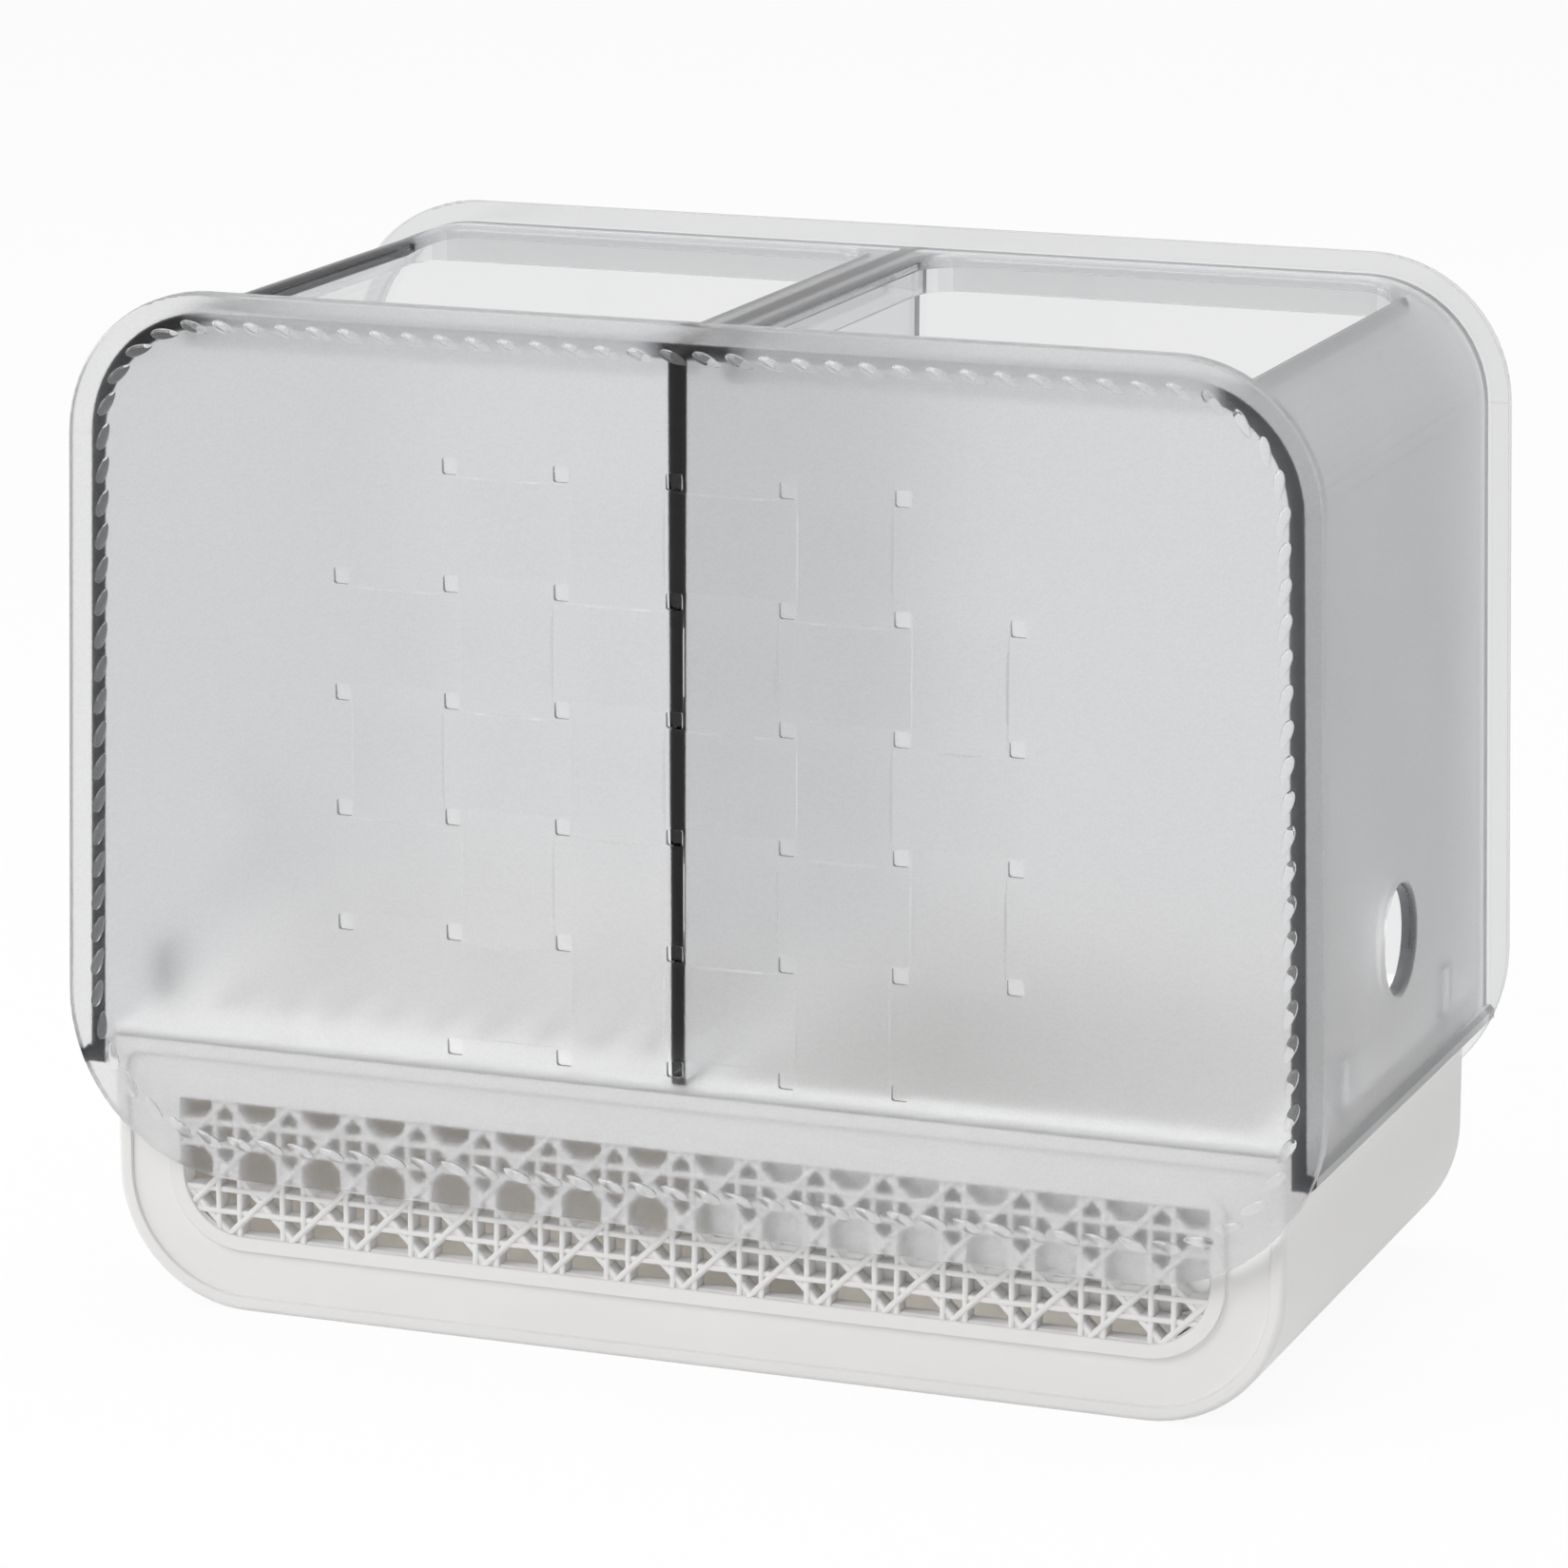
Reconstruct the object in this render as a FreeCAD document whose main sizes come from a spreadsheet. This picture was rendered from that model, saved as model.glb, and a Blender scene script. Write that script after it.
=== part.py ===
import FreeCAD, Part
import Sketcher
import math
import os
import re

# Two-compartment chopstick and cutlery holder. A frosted bin, open at the bottom, stands
# over a white drip base. A drain insert lies on the base's rim, and a cane-web grille
# fills the window in the base's front.
# Millimetres. X is the width, Y the depth with the front at minus Y, Z is up from the table.

SIZES = {
    # Bin: front and back plate, which narrow a little towards the top
    "plate_width": 180.0,
    "plate_slope_share": 0.0245,
    "plate_tall": 124.4,
    "plate_drop": 20.25,
    "plate_thick": 2.2,
    "plate_top_round": 20.7,
    "plate_low_round": 24.9,
    "plate_edge_round": 0.4,
    # Bin: tube between the plates, with its divider, bottom ledges and seat ribs
    "bin_depth": 95.2,
    "flange": 2.9,
    "wall": 2.1,
    "skirt_drop": 5.6,
    "ledge_out": 1.1,
    "ledge_tall": 2.4,
    "ledge_bevel": 0.6,
    "divider_top": 2.7,
    "divider_low": 1.9,
    "rib_wide": 5.0,
    "rib_tall": 7.0,
    "rib_out": 1.7,
    "rib_inset": 19.7,
    # Bin: openings in the deck, each with a collar below it
    "bridge": 9.0,
    "opening_side": 11.1,
    "opening_strip": 4.4,
    "opening_round": 6.0,
    "opening_edge_round": 1.2,
    "collar_deep": 5.4,
    "collar_wall": 1.4,
    # Bin: finger and vent hole in each side wall
    "hole_size": 15.0,
    "hole_rise": 17.3,
    "hole_edge_round": 0.8,
    # Base: clearances to the bin, walls, and the raised rim of its front
    "base_gap": 1.0,
    "base_clear": 0.6,
    "base_tall": 38.6,
    "base_wall": 2.0,
    "base_floor": 2.2,
    "base_round": 19.2,
    "base_edge_round": 0.9,
    "rim_wide": 2.1,
    "rim_proud": 0.5,
    "rim_top_round": 2.0,
    # Drain insert
    "insert_thick": 1.6,
    "insert_wall": 1.5,
    "insert_skirt": 4.0,
    "insert_gap": 0.4,
    "well_start": 2.5,
    "well_deep": 24.4,
    "well_round": 15.0,
    "well_start_round": 5.0,
    "well_gap": 1.5,
    "slot_wide": 3.0,
    "slot_edge": 11.0,
    "floor_slots": 9,
    "well_slots": 7,
    # Cane-web grille and the window that holds it
    "web_side": 10.2,
    "web_lift": 10.9,
    "web_over": 8.0,
    "web_round": 9.0,
    "web_lip": 0.25,
    "web_deep": 2.4,
    "ring_wide": 2.1,
    "ring_proud": 0.6,
    "ring_top_round": 3.0,
    "plug_wide": 1.0,
    "plug_gap": 0.15,
    "cane_pitch": 9.75,
    "cane_pair": 3.2,
    "cane_strand": 0.8,
    "cane_slant": 1.0,
    # How far a cut runs past the faces that it opens
    "overrun": 3.0,
}
NEAR = 0.02
ROUGH = 20.0


def half_width(height, inset):
    """Formula for the half width of the bin at a height, inside the plates' outline by inset."""
    return f"(plate_width / 2 - plate_slope_share * ({height} - plate_low - plate_tall / 2) - {inset})"


# Places that follow from the sizes, each a formula of sizes and of places above it
PLACES = {
    "seat": "base_tall + insert_thick",
    "plate_low": "seat - plate_drop",
    "plate_high": "plate_low + plate_tall",
    "skirt": "seat - skirt_drop",
    "tube_top": "plate_high - flange",
    "deck_under": "tube_top - wall",
    "inner_depth": "bin_depth - 2 * plate_thick",
    "ledge_end": half_width("skirt", "flange") + " + ledge_out",
    "mouth_end": half_width("tube_top", "flange") + " - opening_side",
    "mouth_half": "inner_depth / 2 - opening_strip",
    "collar_low": "tube_top - collar_deep",
    "hole_lift": "seat + hole_rise",
    "hole_wall": half_width("hole_lift", "flange"),
    "base_half": half_width("skirt", "flange") + " - wall - base_gap",
    "base_reach": "inner_depth / 2 - base_clear",
    "base_face": "base_reach - rim_proud",
    "well_end": "base_half - base_wall - insert_gap - insert_wall",
    "well_half": "base_reach - base_wall - well_gap",
    "well_lift": "base_tall - well_deep",
    "web_half": "base_half - web_side",
    "web_tall": "base_tall - web_over - web_lift",
    "web_top": "web_lift + web_tall",
}


def with_sheets(text, own_sheet=""):
    """Point each size or place name in a formula at its cell."""
    def cell(found):
        word = found.group()
        if word in SIZES:
            return "Sizes." + word
        if word in PLACES and own_sheet != "Places":
            return "Places." + word
        return word
    return re.sub(r"[a-z_]+", cell, text)


def formula(text):
    return with_sheets(text)


def make_sheets(doc):
    """One sheet with the driving sizes as plain numbers, and one with the places that follow from them."""
    sizes = doc.addObject("Spreadsheet::Sheet", "Sizes")
    for row, (name, value) in enumerate(SIZES.items(), start=1):
        sizes.set(f"A{row}", str(value))
        sizes.setAlias(f"A{row}", name)
    doc.recompute()
    places = doc.addObject("Spreadsheet::Sheet", "Places")
    for row, (name, text) in enumerate(PLACES.items(), start=1):
        places.setAlias(f"A{row}", name)
    for row, (name, text) in enumerate(PLACES.items(), start=1):
        places.set(f"A{row}", "=" + with_sheets(text, "Places"))
    doc.recompute()
    return sizes, places


class Numbers:
    """Sizes and places as plain numbers, for picking edges by where they are."""

    def __init__(self, sizes, places):
        for name in SIZES:
            setattr(self, name, float(sizes.get(name)))
        for name in PLACES:
            setattr(self, name, float(places.get(name)))


def make_body(doc, name):
    body = doc.addObject("PartDesign::Body", name)
    body.Label = name
    return body


def new_sketch(body, name, plane, offset="0"):
    """Empty sketch on one of the body's own planes, moved along the plane's normal by offset."""
    sketch = body.newObject("Sketcher::SketchObject", name)
    origin = [item for item in body.Origin.OriginFeatures if item.Role == plane][0]
    sketch.AttachmentSupport = (origin, [""])
    sketch.MapMode = "FlatFace"
    sketch.setExpression("AttachmentOffset.Base.z", formula(offset))
    return sketch


def place(sketch, geometry, point, across, along):
    """Hold one point of the sketch at a place given by two formulas."""
    for kind, text in (("DistanceX", across), ("DistanceY", along)):
        index = sketch.addConstraint(Sketcher.Constraint(kind, -1, 1, geometry, point, 1.0))
        sketch.setExpression(f"Constraints[{index}]", formula(text))


def add_loop(sketch, corners):
    """Closed outline through corners, each a pair of formulas."""
    first = sketch.GeometryCount
    count = len(corners)
    rough = [FreeCAD.Vector(math.cos(2 * math.pi * k / count), math.sin(2 * math.pi * k / count), 0)
             for k in range(count)]
    for k in range(count):
        sketch.addGeometry(Part.LineSegment(rough[k], rough[(k + 1) % count]), False)
    for k in range(count):
        sketch.addConstraint(Sketcher.Constraint("Coincident", first + k, 2, first + (k + 1) % count, 1))
    for k, (across, along) in enumerate(corners):
        place(sketch, first + k, 1, across, along)


def add_box(sketch, low_x, high_x, low_y, high_y):
    """Rectangular outline between four formulas."""
    add_loop(sketch, [(low_x, low_y), (high_x, low_y), (high_x, high_y), (low_x, high_y)])


def add_rounded_box(sketch, low_x, high_x, low_y, high_y, radius):
    """Rectangular outline with round corners. It starts as a square of rough size."""
    first = sketch.GeometryCount
    half = ROUGH / 2
    turn = math.pi / 2
    for k in range(4):
        ahead = FreeCAD.Vector(math.cos(k * turn), math.sin(k * turn), 0)
        out = FreeCAD.Vector(math.sin(k * turn), -math.cos(k * turn), 0)
        sketch.addGeometry(Part.LineSegment(out * ROUGH - ahead * half, out * ROUGH + ahead * half), False)
        circle = Part.Circle((out + ahead) * half, FreeCAD.Vector(0, 0, 1), half)
        sketch.addGeometry(Part.ArcOfCircle(circle, (k - 1) * turn, k * turn), False)
    for k in range(4):
        line = first + 2 * k
        after = first + (2 * k + 2) % 8
        sketch.addConstraint(Sketcher.Constraint("Tangent", line, 2, line + 1, 1))
        sketch.addConstraint(Sketcher.Constraint("Tangent", line + 1, 2, after, 1))
        sketch.addConstraint(Sketcher.Constraint("Horizontal" if k % 2 == 0 else "Vertical", line))
        if k > 0:
            sketch.addConstraint(Sketcher.Constraint("Equal", first + 1, line + 1))
    bound = sketch.addConstraint(Sketcher.Constraint("Radius", first + 1, half))
    sketch.setExpression(f"Constraints[{bound}]", formula(radius))
    sides = (("DistanceY", low_y, -ROUGH), ("DistanceX", high_x, ROUGH),
             ("DistanceY", high_y, ROUGH), ("DistanceX", low_x, -ROUGH))
    for k, (kind, text, rough) in enumerate(sides):
        index = sketch.addConstraint(Sketcher.Constraint(kind, -1, 1, first + 2 * k, 1, rough))
        sketch.setExpression(f"Constraints[{index}]", formula(text))


def add_circle(sketch, across, along, radius):
    index = sketch.addGeometry(Part.Circle(FreeCAD.Vector(), FreeCAD.Vector(0, 0, 1), 1.0), False)
    place(sketch, index, 3, across, along)
    bound = sketch.addConstraint(Sketcher.Constraint("Radius", index, 1.0))
    sketch.setExpression(f"Constraints[{bound}]", formula(radius))


def extrude(body, kind, sketch, length, both_ways=False, turned=False):
    """Pad or Pocket of a sketch. A pocket has to take material away."""
    before = body.Shape.Volume if body.Tip else 0
    feature = body.newObject("PartDesign::" + kind, sketch.Name + kind)
    feature.Profile = sketch
    feature.setExpression("Length", formula(length))
    feature.SideType = "Symmetric" if both_ways else "One side"
    feature.Reversed = turned
    body.Document.recompute()
    grown = feature.Shape.Volume - before
    if (grown >= 0) if kind == "Pocket" else (grown <= 0):
        raise RuntimeError(f"{feature.Name} changes nothing")
    return feature


def round_edges(body, name, radius, test):
    """Fillet on the edges whose middle point passes the test."""
    base = body.Tip
    chosen = []
    for number, edge in enumerate(base.Shape.Edges, start=1):
        middle = edge.valueAt((edge.FirstParameter + edge.LastParameter) / 2)
        if test(middle, edge):
            chosen.append(f"Edge{number}")
    if not chosen:
        raise RuntimeError(f"{name} finds no edge")
    fillet = body.newObject("PartDesign::Fillet", name)
    fillet.Base = (base, chosen)
    fillet.setExpression("Radius", formula(radius))
    body.Document.recompute()
    if "Invalid" in fillet.State:
        raise RuntimeError(f"{name}: {fillet.getStatusString()}")
    return fillet


def runs_along(edge, axis):
    """True for a straight edge along an axis, 0 to 2 for X to Z, or close to it."""
    if edge.Curve.TypeId != "Part::GeomLine":
        return False
    return abs(abs(edge.Curve.Direction[axis]) - 1) < NEAR


def near(value, wanted):
    return abs(value - wanted) < NEAR


def bin_tube(body, size):
    """Arch-shaped tube between the plates, cored from below on both sides of the divider."""
    outer = new_sketch(body, "TubeOutline", "XZ_Plane")
    low = half_width("skirt", "flange")
    high = half_width("tube_top", "flange")
    add_loop(outer, [("-" + low, "skirt"), (low, "skirt"), (high, "tube_top"), ("-" + high, "tube_top")])
    extrude(body, "Pad", outer, "inner_depth", both_ways=True)
    core = new_sketch(body, "CompartmentCores", "XZ_Plane")
    start = "(skirt - overrun)"
    for side in ("", "-"):
        add_loop(core, [(side + "divider_low / 2", start),
                        (side + half_width(start, "(flange + wall)"), start),
                        (side + half_width("deck_under", "(flange + wall)"), "deck_under"),
                        (side + "divider_top / 2", "deck_under")])
    extrude(body, "Pocket", core, "inner_depth", both_ways=True)
    round_edges(body, "CompartmentShoulders", "plate_top_round - flange - wall",
                lambda middle, edge: runs_along(edge, 1) and near(middle.z, size.deck_under)
                and abs(middle.x) > size.mouth_end)
    round_edges(body, "TubeShoulders", "plate_top_round - flange",
                lambda middle, edge: runs_along(edge, 1) and near(middle.z, size.tube_top))
    foot = new_sketch(body, "DividerFoot", "XZ_Plane")
    add_box(foot, "-divider_top", "divider_top", start, "seat")
    extrude(body, "Pocket", foot, "inner_depth", both_ways=True)


def bin_plates(body, size):
    """Front and back plate, which close the tube and stand out round it."""
    low = half_width("plate_low", "0")
    high = half_width("plate_high", "0")
    for name, offset, turned in (("FrontPlate", "inner_depth / 2", False),
                                 ("BackPlate", "-inner_depth / 2", True)):
        plate = new_sketch(body, name, "XZ_Plane", offset)
        add_loop(plate, [("-" + low, "plate_low"), (low, "plate_low"),
                         (high, "plate_high"), ("-" + high, "plate_high")])
        extrude(body, "Pad", plate, "plate_thick", turned=turned)
    round_edges(body, "PlateTopCorners", "plate_top_round",
                lambda middle, edge: runs_along(edge, 1) and near(middle.z, size.plate_high))
    round_edges(body, "PlateLowCorners", "plate_low_round",
                lambda middle, edge: runs_along(edge, 1) and near(middle.z, size.plate_low))
    round_edges(body, "PlateEdges", "plate_edge_round",
                lambda middle, edge: near(abs(middle.y), size.bin_depth / 2))


def bin_ledges(body):
    """Ledge along the bottom of each side wall, and the ribs inside that stand on the insert."""
    ledges = new_sketch(body, "Ledges", "XZ_Plane")
    inside = half_width("skirt", "(flange + wall / 2)")
    for side in ("", "-"):
        add_loop(ledges, [(side + inside, "skirt"), (side + "(ledge_end - ledge_bevel)", "skirt"),
                          (side + "ledge_end", "skirt + ledge_bevel"),
                          (side + "ledge_end", "skirt + ledge_tall - ledge_bevel"),
                          (side + "(ledge_end - ledge_bevel)", "skirt + ledge_tall"),
                          (side + inside, "skirt + ledge_tall")])
    extrude(body, "Pad", ledges, "inner_depth", both_ways=True)
    ribs = new_sketch(body, "SeatRibs", "XY_Plane", "seat")
    for side in ("", "-"):
        for end in ("", "-"):
            add_box(ribs, side + half_width("seat", "(flange + wall + rib_out)"),
                    side + half_width("seat", "(flange + wall / 2)"),
                    end + "(inner_depth / 2 - rib_inset - rib_wide / 2)",
                    end + "(inner_depth / 2 - rib_inset + rib_wide / 2)")
    extrude(body, "Pad", ribs, "rib_tall")


def bin_openings(body, size):
    """Two openings in the deck, each with a rounded edge and a collar that hangs below it."""
    collars = new_sketch(body, "Collars", "XY_Plane", "collar_low")
    mouths = new_sketch(body, "Mouths", "XY_Plane", "plate_high")
    for low, high in (("bridge / 2", "mouth_end"), ("-mouth_end", "-bridge / 2")):
        add_rounded_box(collars, f"{low} - collar_wall", f"{high} + collar_wall",
                        "-(mouth_half + collar_wall)", "mouth_half + collar_wall",
                        "opening_round + collar_wall")
        add_rounded_box(mouths, low, high, "-mouth_half", "mouth_half", "opening_round")
    extrude(body, "Pad", collars, "collar_deep - wall")
    extrude(body, "Pocket", mouths, "flange + collar_deep + overrun")

    def mouth_rim(middle, edge):
        inside = abs(middle.x) < size.mouth_end + NEAR and abs(middle.y) < size.mouth_half + NEAR
        return inside and edge.BoundBox.ZMin > size.deck_under + NEAR and not runs_along(edge, 2)

    round_edges(body, "MouthRims", "opening_edge_round", mouth_rim)


def bin_side_holes(body, size):
    """Round hole in each side wall, with a softened outer edge."""
    for name, offset, turned in (("RightHole", "hole_wall + overrun", False),
                                 ("LeftHole", "-(hole_wall + overrun)", True)):
        hole = new_sketch(body, name, "YZ_Plane", offset)
        add_circle(hole, "0", "hole_lift", "hole_size / 2")
        extrude(body, "Pocket", hole, "wall + 2 * overrun", turned=turned)

    def outer_rim(middle, edge):
        place = edge.CenterOfMass
        return (edge.isClosed() and abs(place.x) > size.hole_wall - size.wall / 2
                and abs(place.y) < size.hole_size / 2 and abs(place.z - size.hole_lift) < size.hole_size / 2)

    round_edges(body, "HoleRims", "hole_edge_round", outer_rim)


def make_bin(doc, size):
    body = make_body(doc, "bin_sleeve")
    bin_tube(body, size)
    bin_plates(body, size)
    bin_ledges(body)
    bin_openings(body, size)
    bin_side_holes(body, size)
    return body


def base_shell(body, size):
    """Box with its hollow. The hollow's corners are rounded while the box is still square."""
    outer = new_sketch(body, "BaseOutline", "XZ_Plane")
    add_box(outer, "-base_half", "base_half", "0", "base_tall")
    extrude(body, "Pad", outer, "2 * base_reach", both_ways=True)
    core = new_sketch(body, "BaseCore", "XZ_Plane")
    add_box(core, "-(base_half - base_wall)", "base_half - base_wall", "base_floor", "base_tall + overrun")
    extrude(body, "Pocket", core, "2 * (base_reach - base_wall)", both_ways=True)
    round_edges(body, "BaseCoreCorners", "base_round - base_wall",
                lambda middle, edge: runs_along(edge, 1) and near(middle.z, size.base_floor)
                and near(abs(middle.x), size.base_half - size.base_wall))


def base_face(body, size):
    """Face of the base's front, set back inside a raised rim."""
    face = new_sketch(body, "FrontFace", "XZ_Plane", "base_reach")
    add_box(face, "-(base_half - rim_wide)", "base_half - rim_wide", "rim_wide", "base_tall - rim_wide")
    extrude(body, "Pocket", face, "rim_proud")
    inner_rim = size.base_half - size.rim_wide
    round_edges(body, "FaceLowCorners", "base_round - rim_wide",
                lambda middle, edge: runs_along(edge, 1) and near(middle.z, size.rim_wide)
                and near(abs(middle.x), inner_rim))
    round_edges(body, "FaceTopCorners", "rim_top_round",
                lambda middle, edge: runs_along(edge, 1) and near(middle.z, size.base_tall - size.rim_wide)
                and near(abs(middle.x), inner_rim))


def base_corners(body, size):
    """Large round bottom corners, and a softened edge round the front and the back."""
    round_edges(body, "BaseCorners", "base_round",
                lambda middle, edge: runs_along(edge, 1) and near(middle.z, 0))

    def outer_edge(middle, edge):
        box = edge.BoundBox
        reach = max(box.XMax, -box.XMin)
        on_outline = reach > size.base_half - size.rim_wide + NEAR or box.ZMin < size.rim_wide - NEAR
        return near(abs(middle.y), size.base_reach) and on_outline and middle.z < size.base_tall - NEAR

    round_edges(body, "BaseEdges", "base_edge_round", outer_edge)


def base_window(body, size):
    """Window in the front wall for the grille's plug."""
    window = new_sketch(body, "GrilleWindow", "XZ_Plane", "base_reach")
    room = "(plug_wide + plug_gap)"
    add_box(window, f"-(web_half + {room})", f"web_half + {room}", f"web_lift - {room}", f"web_top + {room}")
    extrude(body, "Pocket", window, "base_wall + overrun")
    low = size.web_lift - size.plug_wide - size.plug_gap
    round_edges(body, "WindowCorners", "web_round + plug_wide + plug_gap",
                lambda middle, edge: runs_along(edge, 1) and near(middle.z, low)
                and middle.y < size.base_wall - size.base_reach)


def make_base(doc, size):
    """Open white tray with a raised rim round its front face."""
    body = make_body(doc, "base_tray")
    base_shell(body, size)
    base_face(body, size)
    base_corners(body, size)
    base_window(body, size)
    return body


def insert_slots(body, name, height, first, last, half, deep, count):
    """Row of drain slots from first to last, cut through a floor at the given height."""
    slot = new_sketch(body, name, "XY_Plane", height)
    add_box(slot, f"{first} - slot_wide / 2", f"{first} + slot_wide / 2", f"-{half}", half)
    cut = extrude(body, "Pocket", slot, f"{deep} + overrun")
    row = body.newObject("PartDesign::LinearPattern", name + "Row")
    row.Originals = [cut]
    row.Direction = (slot, ["H_Axis"])
    row.setExpression("Length", formula(f"({last}) - ({first})"))
    row.setExpression("Occurrences", formula(count))
    body.Tip = row
    body.Document.recompute()


def insert_well(body, size):
    """Deep well in the right half of the insert."""
    well = new_sketch(body, "WellOutside", "XZ_Plane")
    add_box(well, "well_start", "well_end", "well_lift", "base_tall + insert_thick / 2")
    extrude(body, "Pad", well, "2 * well_half", both_ways=True)
    room = new_sketch(body, "WellInside", "XZ_Plane")
    add_box(room, "well_start + insert_wall", "well_end - insert_wall", "well_lift + insert_wall",
            "seat + overrun")
    extrude(body, "Pocket", room, "2 * (well_half - insert_wall)", both_ways=True)
    low = size.well_lift
    wall = size.insert_wall
    for name, radius, across, height in (
            ("WellInsideEnd", "well_round - insert_wall", size.well_end - wall, low + wall),
            ("WellInsideStart", "well_start_round - insert_wall", size.well_start + wall, low + wall),
            ("WellEnd", "well_round", size.well_end, low),
            ("WellStart", "well_start_round", size.well_start, low)):
        round_edges(body, name, radius,
                    lambda middle, edge: runs_along(edge, 1) and near(middle.x, across)
                    and near(middle.z, height))


def make_insert(doc, size):
    """Drain insert: a flat slotted floor on the left and a deep slotted well on the right."""
    body = make_body(doc, "drain_insert")
    floor = new_sketch(body, "InsertFloor", "XY_Plane", "base_tall")
    add_box(floor, "-base_half", "base_half", "-base_reach", "base_reach")
    extrude(body, "Pad", floor, "insert_thick")
    round_edges(body, "InsertCorners", "base_edge_round", lambda middle, edge: runs_along(edge, 2))
    skirt = new_sketch(body, "InsertSkirt", "XY_Plane", "base_tall")
    across = "(base_half - base_wall - insert_gap)"
    along = "(base_reach - base_wall - insert_gap)"
    for inset in ("0", "insert_wall"):
        add_box(skirt, f"-({across} - {inset})", f"({across} - {inset})", f"-({along} - {inset})",
                f"({along} - {inset})")
    extrude(body, "Pad", skirt, "insert_skirt", turned=True)
    insert_well(body, size)
    insert_slots(body, "FloorSlot", "seat", "slot_edge - base_half", "-slot_edge",
                 "(base_reach - base_wall - slot_edge)", "insert_thick", "floor_slots")
    insert_slots(body, "WellSlot", "well_lift + insert_wall", "well_start + slot_edge",
                 "well_end - well_round", "(well_half - insert_wall - slot_edge)", "insert_wall",
                 "well_slots")
    return body


def grille_panel(doc, size):
    """Panel of the grille: a plug that fills the window, with a raised ring round the web."""
    body = make_body(doc, "grille_panel")
    plug = new_sketch(body, "Plug", "XZ_Plane", "base_face")
    add_box(plug, "-(web_half + plug_wide)", "web_half + plug_wide",
            "web_lift - plug_wide", "web_top + plug_wide")
    extrude(body, "Pad", plug, "web_deep", turned=True)
    ring = new_sketch(body, "Ring", "XZ_Plane", "base_face")
    add_box(ring, "-(web_half + ring_wide)", "web_half + ring_wide",
            "web_lift - ring_wide", "web_top + ring_wide")
    extrude(body, "Pad", ring, "ring_proud")
    recess = new_sketch(body, "WebRecess", "XZ_Plane", "base_face + ring_proud")
    add_box(recess, "-web_half", "web_half", "web_lift", "web_top")
    extrude(body, "Pocket", recess, "ring_proud")
    low = size.web_lift
    high = size.web_top + size.ring_wide
    for name, radius, height in (("RecessCorners", "web_round", low),
                                 ("RingLowCorners", "web_round + ring_wide", low - size.ring_wide),
                                 ("RingTopCorners", "ring_top_round", high),
                                 ("PlugCorners", "web_round + plug_wide", low - size.plug_wide)):
        round_edges(body, name, radius,
                    lambda middle, edge: runs_along(edge, 1) and near(middle.z, height))
    return body


def cane_cells(size):
    """The gaps of one repeat of cane webbing, as lists of points about its middle.

    Strands run in pairs up and across, a pitch apart, and single strands run both ways
    on the diagonal, crossing half-way between the pairs.
    """
    clear = (size.cane_pitch - size.cane_pair - size.cane_strand) / 2
    inside = (size.cane_pair - size.cane_strand) / 2
    half_pitch = size.cane_pitch / 2
    skew = size.cane_slant / math.sqrt(2)
    cut = half_pitch - skew - clear
    eight = [(clear, cut), (cut, clear), (-cut, clear), (-clear, cut),
             (-clear, -cut), (-cut, -clear), (cut, -clear), (clear, -cut)]
    square = [(inside, inside), (-inside, inside), (-inside, -inside), (inside, -inside)]
    house = [(skew, 0), (skew + inside, inside), (clear, inside), (clear, -inside), (skew + inside, -inside)]
    cells = [[(x + half_pitch, z + half_pitch) for x, z in eight], square]
    for turn in (1, -1):
        cells.append([(half_pitch + turn * x, turn * z) for x, z in house])
        cells.append([(-turn * z, half_pitch + turn * x) for x, z in house])
    return cells


def web_window(size, front, through):
    """The space that the web fills, with rounded lower corners."""
    low = size.web_lift + size.web_lip
    half = size.web_half - size.web_lip
    tall = size.web_tall - 2 * size.web_lip
    window = Part.makeBox(2 * half, through, tall, FreeCAD.Vector(-half, front, low))
    low_edges = [edge for edge in window.Edges if runs_along(edge, 1) and near(edge.CenterOfMass.z, low)]
    return window.makeFillet(size.web_round - size.web_lip, low_edges)


def web_gaps(size):
    """All gaps of the web as prisms, kept inside the web's window."""
    front = -size.base_face - size.ring_proud
    through = size.web_deep + size.ring_proud + size.overrun
    along = FreeCAD.Vector(0, through, 0)
    columns = math.ceil(size.web_half / size.cane_pitch) + 1
    rows = math.ceil(size.web_tall / 2 / size.cane_pitch) + 1
    middle = size.web_lift + size.web_tall / 2
    window = web_window(size, front, through)
    prisms = []
    for column in range(-columns, columns):
        for row in range(-rows, rows):
            for cell in cane_cells(size):
                points = [FreeCAD.Vector(x + column * size.cane_pitch, front,
                                         z + middle + (row + 1 / 2) * size.cane_pitch) for x, z in cell]
                face = Part.Face(Part.makePolygon(points + points[:1]))
                if face.BoundBox.intersect(window.BoundBox):
                    prisms.append(face.extrude(along))
    return Part.makeCompound(prisms).common(window)


def make_grille(doc, size):
    """Cane-web grille: the panel with the gaps of the web cut through it."""
    panel = grille_panel(doc, size)
    gaps = doc.addObject("Part::Feature", "web_gaps")
    gaps.Shape = web_gaps(size)
    grille = doc.addObject("Part::Cut", "cane_grille")
    grille.Label = "cane_grille"
    grille.Base = panel
    grille.Tool = gaps
    return grille


def check(doc, parts):
    """Stop before anything is written if an object failed or a shape isn't one sound solid."""
    for item in doc.Objects:
        if "Invalid" in item.State or "Error" in item.State:
            raise RuntimeError(f"{item.Name}: {item.getStatusString()}")
    for item in parts:
        if item.Shape.isNull() or not item.Shape.isValid():
            raise RuntimeError(f"{item.Label}: shape is not sound")
        if len(item.Shape.Solids) != 1:
            raise RuntimeError(f"{item.Label}: {len(item.Shape.Solids)} solids")


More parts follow.
